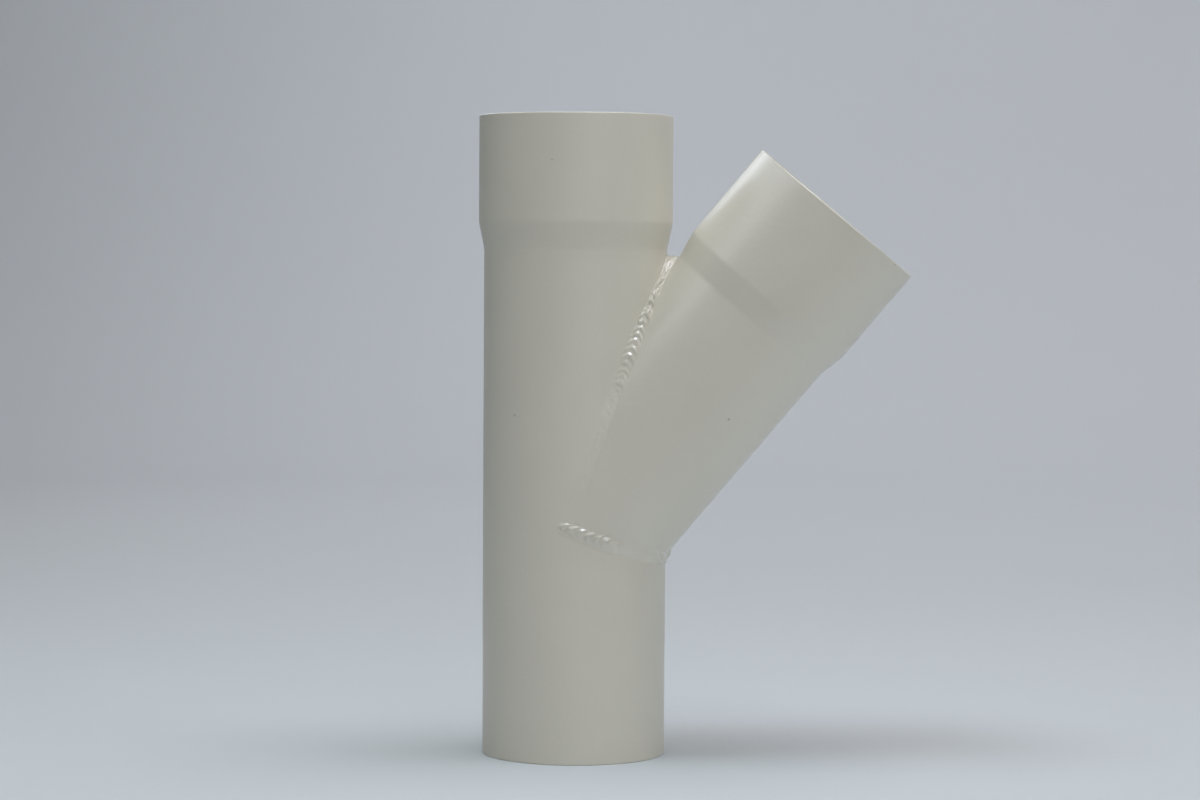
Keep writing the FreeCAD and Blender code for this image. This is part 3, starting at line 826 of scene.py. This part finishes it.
class BeadForm:
    """The weld's surface along one seam: crown, crescent ripples, wandering toes."""

    def __init__(self, path, weld, bow, peak_leg, pitch, skew, spill, seed, front, back):
        self.path, self.weld, self.seed = path, weld, seed
        self.bow, self.pitch, self.skew, self.spill = bow, pitch, skew, spill
        self.front, self.back = front, back
        self.peak_leg = peak_leg
        self.reach = path.half_length + NOSE
        self.closing = math.sqrt(1 - (path.side / path.peak) ** 2)

    def drift(self, distance, size, length, row):
        return size * noise.noise(Vector((distance / length, row * ROW_STEP + self.seed, 0.5)))

    def nearness(self, distance):
        """1 at the seam's peak, in the crotch or at the heel, and 0 from the corners on."""
        return max(0.0, math.cos(self.path.angle_at(distance)))

    def shares_at(self, distance):
        return read_marks(self.front if distance < 0 else self.back, distance)

    def toes(self, distance):
        """Where the bead's edges lie either side of the seam, measured square to the seam's plane."""
        near = self.nearness(distance)
        wall_side = math.sqrt(1 - (near * self.closing) ** 2)
        width_share = self.shares_at(distance)[3]
        leg = mixed(self.weld.width / 2 * width_share, self.peak_leg, near ** PEAK_FOCUS)
        leg *= 1 + self.drift(distance, *TOE_SWELL)
        past = max(0.0, abs(distance) - self.path.half_length) / NOSE
        fade = math.sqrt(max(0.0, 1 - past * past))
        wander = self.drift(distance, *TOE_WANDER)
        width = leg * wall_side * fade
        return wander * fade - width, wander * fade + width, fade

    def place(self, along_share, round_share):
        """A point of the bead's skin: over the top up to TOP_SHARE, then back underneath."""
        distance = mixed(-self.reach, self.reach, along_share)
        low, high, fade = self.toes(distance)
        half_width = max((high - low) / 2, LEAST_HALF_WIDTH)
        on_top = round_share <= TOP_SHARE
        if on_top:
            across = mixed(-GRID_EDGE, GRID_EDGE, round_share / TOP_SHARE)
        else:
            across = mixed(GRID_EDGE, -GRID_EDGE, (round_share - TOP_SHARE) / (1 - TOP_SHARE))
        seam_point, out = self.path.section(distance)
        base = seam_point + self.path.across * ((low + high) / 2 + half_width * across)
        wall = self.path.wall_height(base, out)
        if not on_top or fade == 0:
            return self.path.crossing + base + out * (wall - ROOT_DEPTH)
        crown_share, ripple_share, lump_share, _ = self.shares_at(distance)
        toe_walls = [self.path.wall_height(seam_point + self.path.across * toe, out) for toe in (low, high)]
        chord = mixed(*toe_walls, (across + 1) / 2)
        crown = self.crown_at(distance) * crown_share * (1 - across * across) * (1 + self.skew * across)
        relief = self.ripples_at(distance, across) * ripple_share
        relief += self.lumps_at(distance, across) * lump_share
        relief += self.spill_at(distance, across)
        skin = chord + (crown + relief) * fade
        raised = min(1.0, crown_share * 2)
        blend = self.weld.toe_blend * mixed(FLUSH_BLEND, 1, raised)
        skin = smooth_max(skin, wall, blend) - blend / 2 - mixed(FLUSH_DEPTH, RAISED_DEPTH, raised)
        dive = eased((abs(across) - DIVE_START) / (GRID_EDGE - DIVE_START))
        return self.path.crossing + base + out * (skin - dive * DIVE_DEPTH)

    def crown_at(self, distance):
        crotch = (self.nearness(distance) * self.closing) ** CROTCH_FOCUS
        height = mixed(self.weld.crown, CROTCH_CROWN, crotch)
        return height * (1 + self.drift(distance, *CROWN_SWELL))

    def ripples_at(self, distance, across):
        """Crescents bowed along the bead, each with a strength of its own."""
        if abs(across) >= 1:
            return 0.0
        away = abs(distance) + self.drift(distance, *RIPPLE_WANDER)
        phase = (away - self.bow * across * across) / self.pitch
        which = Vector((math.floor(phase) * RIPPLE_STEP, self.seed, math.copysign(SIDE_STEP, distance)))
        strength = RIPPLE_STRENGTH + RIPPLE_SPREAD * noise.noise(which)
        step = self.weld.ripple_depth * strength * (ripple(phase) - RIPPLE_LEVEL)
        return step * (1 - across * across) ** 0.5 * (1 + self.skew * across) ** 2

    def spill_at(self, distance, across):
        """A thin line of spill on the branch's side of the front, from where the even ripples end."""
        if distance > 0:
            return 0.0
        place = abs(distance) / MM
        start = eased((place - SPILL_START) / (SPILL_FULL - SPILL_START))
        end = eased((SPILL_END - place) / (SPILL_END - SPILL_WANE))
        swell = max(0.0, SPILL_LEVEL + self.drift(distance, *SPILL_SWELL))
        line = math.exp(-((across - SPILL_LINE) / SPILL_WIDTH) ** 2)
        return self.spill * swell * start * end * line

    def lumps_at(self, distance, across):
        """Blobs a few millimetres wide with smaller ones on them, where the filler rod dipped unevenly."""
        if abs(across) >= 1:
            return 0.0
        place = Vector((distance / LUMP_LENGTH, across * LUMPS_ACROSS + self.seed, 2.2))
        blob = noise.noise(place) + SMALL_LUMP_SHARE * noise.noise(place * SMALL_LUMP_SCALE)
        return LUMP_HEIGHT * blob * (1 - across * across) ** 0.7


def add_bead(weld_form, form, stations, around):
    """One bead as a grid wrapped round its section, its ends drawn to a point in the tubes."""
    grid = bmesh.ops.create_grid(weld_form, x_segments=stations, y_segments=around, size=0.5)["verts"]
    for vertex in grid:
        vertex.co = form.place(vertex.co.x + 0.5, vertex.co.y + 0.5)
    bmesh.ops.remove_doubles(weld_form, verts=grid, dist=BEAD_MERGE)


class WYE_OT_weld_bead(bpy.types.Operator):
    """Rippled weld round the saddle, filling the crotch"""

    bl_idname = "wye.weld_bead"
    bl_label = "Weld Bead"

    def execute(self, context):
        scene = context.scene
        sizes, weld, finish = scene.wye_tubes, scene.wye_weld, scene.wye_finish
        half = sizes.branch_angle / 2
        to_crotch, to_heel = seam_directions(sizes)
        branch_way = Vector((math.sin(sizes.branch_angle), 0, math.cos(sizes.branch_angle)))
        upper = SeamPath(sizes, to_crotch, sizes.pipe_radius / math.sin(half), branch_way)
        lower = SeamPath(sizes, to_heel, sizes.pipe_radius / math.cos(half), branch_way)
        above = BeadForm(
            upper, weld, bow=weld.ripple_bow, peak_leg=weld.crotch_leg, pitch=weld.ripple_pitch,
            skew=0.0, spill=SPILL_HEIGHT, seed=1.7, front=UPPER_FRONT, back=UPPER_BACK)
        below = BeadForm(
            lower, weld, bow=-weld.ripple_bow, peak_leg=weld.width / 2,
            pitch=weld.ripple_pitch * LOWER_PITCH_SHARE, skew=LOWER_SKEW, spill=0.0, seed=5.2,
            front=LOWER_FRONT, back=LOWER_BACK)
        metal = bmesh.new()
        add_bead(metal, above, stations=860, around=46)
        add_bead(metal, below, stations=440, around=46)
        bmesh.ops.recalc_face_normals(metal, faces=metal.faces)
        flush = (finish.gloss_roughness, sizes.crossing + FLUSH_FROM, sizes.crossing + FLUSH_TO)
        coat = coat_material("coated weld", finish, finish.weld_roughness, flush=flush)
        finish_piece("rippled_weld", metal, coat, "weld_bead")
        return {"FINISHED"}


# Studio

# Name, watts, colour, width and height in metres, place, the point that it faces, and whether it only shows
# as a reflection in the coat
LIGHTS = (
    ("overhead softbox", 3.0, (0.86, 0.96, 1.04), (0.5, 0.4), (-0.16, -0.2, 1.1), (0.02, 0, 0.1), False),
    ("overhead fill", 2.8, (1.0, 0.965, 1.02), (0.5, 0.5), (0.3, 0.05, 1.1), (0.05, 0, 0.1), False),
    ("ceiling panel", 0.8, (0.9, 1.0, 0.95), (1.4, 1.2), (-0.1, 0, 1.3), (0.05, 0, 0.1), False),
    ("front window", 8.9, (1.1, 0.98, 0.92), (2.0, 1.3), (0.9, -2.3, 0.7), (0.05, 0, 0.15), False),
    ("side window", 1.8, (0.94, 0.96, 1.1), (1.2, 1.2), (2.1, -0.4, 0.9), (0.05, 0, 0.15), False),
    ("backdrop lamp", 6.7, (1.0, 0.985, 1.09), (1.6, 0.4), (0.1, 0.9, 1.5), (0.1, 3, 0.4), False),
    ("left reflector", 3.6, (0.88, 0.96, 1.1), (1.1, 0.5), (-0.99, -0.21, 1.07), (0.07, 0, 0.2), True),
    ("back reflector", 5.0, (0.9, 0.96, 1.06), (1.0, 0.5), (-0.7, 0.91, 0.9), (0.07, 0, 0.2), True),
    ("weld sparkle", 8.0, (0.88, 0.96, 1.1), (0.35, 0.35), (0.22, -0.25, 1.1), (0.03, 0, 0.17), True),
)

# Degrees by which the camera looks off the straight tube's axis, off level and off upright, as fitted, and
# the width of its sensor in millimetres
CAMERA_YAW = 0.451
CAMERA_PITCH = -2.408
CAMERA_ROLL = 0.334
SENSOR_WIDTH = 36

# Radii of the floor's rings inside its edge, and the backdrop's steps up its sweep and all the way round
FLOOR_RINGS = (0, 0.3, 0.9)
SWEEP_STEPS = 24
BACKDROP_FACETS = 96


def add_softbox(name, energy, colour, size, place, target, gloss_only):
    light = bpy.data.lights.new(name, "AREA")
    light.shape = "RECTANGLE"
    light.size, light.size_y = size
    light.energy = energy
    light.color = colour
    lamp = bpy.data.objects.new(name, light)
    lamp.location = place
    lamp.rotation_mode = "QUATERNION"
    lamp.rotation_quaternion = (Vector(place) - Vector(target)).to_track_quat("Z", "Y")
    lamp.visible_diffuse = not gloss_only
    bpy.context.scene.collection.objects.link(lamp)


def add_camera(studio):
    """The photograph's viewpoint, fitted to the outlines of both tubes."""
    turn = Matrix.Rotation(studio.camera_turn, 3, "Z")
    yaw, pitch, roll = math.radians(CAMERA_YAW), math.radians(CAMERA_PITCH), math.radians(CAMERA_ROLL)
    ahead = Vector((math.sin(yaw) * math.cos(pitch), math.cos(yaw) * math.cos(pitch), math.sin(pitch)))
    right = ahead.cross(UP).normalized()
    above = right.cross(ahead)
    tilted_right = right * math.cos(roll) + above * math.sin(roll)
    tilted_up = above * math.cos(roll) - right * math.sin(roll)
    axes = Matrix((tilted_right, tilted_up, -ahead)).transposed()
    lens = bpy.data.cameras.new("camera")
    lens.sensor_width = SENSOR_WIDTH
    lens.lens = studio.camera_lens
    lens.clip_start, lens.clip_end = 0.05, 30
    camera = bpy.data.objects.new("camera", lens)
    camera.rotation_mode = "QUATERNION"
    camera.rotation_quaternion = (turn @ axes).to_quaternion()
    camera.location = turn @ Vector((0, -studio.camera_distance, studio.camera_height))
    bpy.context.scene.collection.objects.link(camera)
    bpy.context.scene.camera = camera


def studio_air():
    """Soft light from all round, dimmer and warmer on the left as in a room lit from its right."""
    world = bpy.data.worlds.new("studio air")
    world.use_nodes = True
    tree = world.node_tree
    sky = tree.nodes["Background"]
    way = add_node(tree, "ShaderNodeTexCoord", (-700, 0))
    parts = add_node(tree, "ShaderNodeSeparateXYZ", (-520, 0))
    side = add_node(tree, "ShaderNodeMapRange", (-320, 0), {"From Min": -0.9, "From Max": 0.5},
                    interpolation_type="SMOOTHSTEP")
    strength = add_node(tree, "ShaderNodeMapRange", (-140, -80), {"To Min": 0.06, "To Max": 0.45})
    tint = add_node(tree, "ShaderNodeMix", (-140, 200),
                    {"A": (1.3, 0.94, 0.6, 1), "B": (0.965, 0.99, 1.01, 1)}, data_type="RGBA")
    wire(
        tree,
        (way.outputs["Generated"], parts.inputs["Vector"]),
        (parts.outputs["X"], side.inputs["Value"]),
        (side.outputs["Result"], strength.inputs["Value"]),
        (side.outputs["Result"], tint.inputs["Factor"]),
        (strength.outputs["Result"], sky.inputs["Strength"]),
        (tint.outputs["Result"], sky.inputs["Color"]),
    )
    return world


class WYE_OT_studio(bpy.types.Operator):
    """Round paper backdrop, soft lights and the camera"""

    bl_idname = "wye.studio"
    bl_label = "Studio"

    def execute(self, context):
        scene = context.scene
        studio, finish = scene.wye_studio, scene.wye_finish
        paper = bmesh.new()
        centre = Vector((studio.floor_radius, 0, studio.sweep_radius))
        section = [Vector((radius, 0, 0)) for radius in FLOOR_RINGS]
        add_bend(section, centre, studio.sweep_radius, -math.pi / 2, 0, count=SWEEP_STEPS)
        section.append(Vector((studio.floor_radius + studio.sweep_radius, 0, studio.wall_height)))
        points = [paper.verts.new(point) for point in section]
        edges = [paper.edges.new(pair) for pair in zip(points, points[1:])]
        spin_about_z(paper, points + edges, BACKDROP_FACETS)
        bmesh.ops.remove_doubles(paper, verts=paper.verts, dist=BACKDROP_MERGE)
        backdrop = add_object("backdrop", paper, backdrop_material(finish))

        scene.view_settings.view_transform = "Standard"
        scene.world = studio_air()
        for light in LIGHTS:
            add_softbox(*light)
        add_camera(studio)
        return {"FINISHED"}


class WYE_PT_panel(bpy.types.Panel):
    """Pieces and sizes of the wye"""

    bl_label = "Welded Lateral Wye"
    bl_idname = "WYE_PT_panel"
    bl_space_type = "VIEW_3D"
    bl_region_type = "UI"
    bl_category = "Wye"

    def draw(self, context):
        layout, scene = self.layout, context.scene
        for operator in OPERATORS:
            layout.operator(operator.bl_idname)
        for settings in (scene.wye_tubes, scene.wye_weld, scene.wye_finish, scene.wye_studio):
            box = layout.box()
            for name in settings.__annotations__:
                box.prop(settings, name)


SETTINGS = {
    "wye_tubes": WyeTubeSizes,
    "wye_weld": WyeWeldSizes,
    "wye_finish": WyeFinish,
    "wye_studio": WyeStudio,
}
OPERATORS = (WYE_OT_run_tube, WYE_OT_branch_tube, WYE_OT_weld_bead, WYE_OT_studio)


def register():
    for kind in (*SETTINGS.values(), *OPERATORS, WYE_PT_panel):
        bpy.utils.register_class(kind)
    for name, kind in SETTINGS.items():
        setattr(bpy.types.Scene, name, PointerProperty(type=kind))


def unregister():
    for name in SETTINGS:
        delattr(bpy.types.Scene, name)
    for kind in (WYE_PT_panel, *reversed(OPERATORS), *reversed(SETTINGS.values())):
        bpy.utils.unregister_class(kind)


def main():
    register()
    bpy.ops.wye.studio()
    bpy.ops.wye.run_tube()
    bpy.ops.wye.branch_tube()
    bpy.ops.wye.weld_bead()


if __name__ == "__main__":
    main()
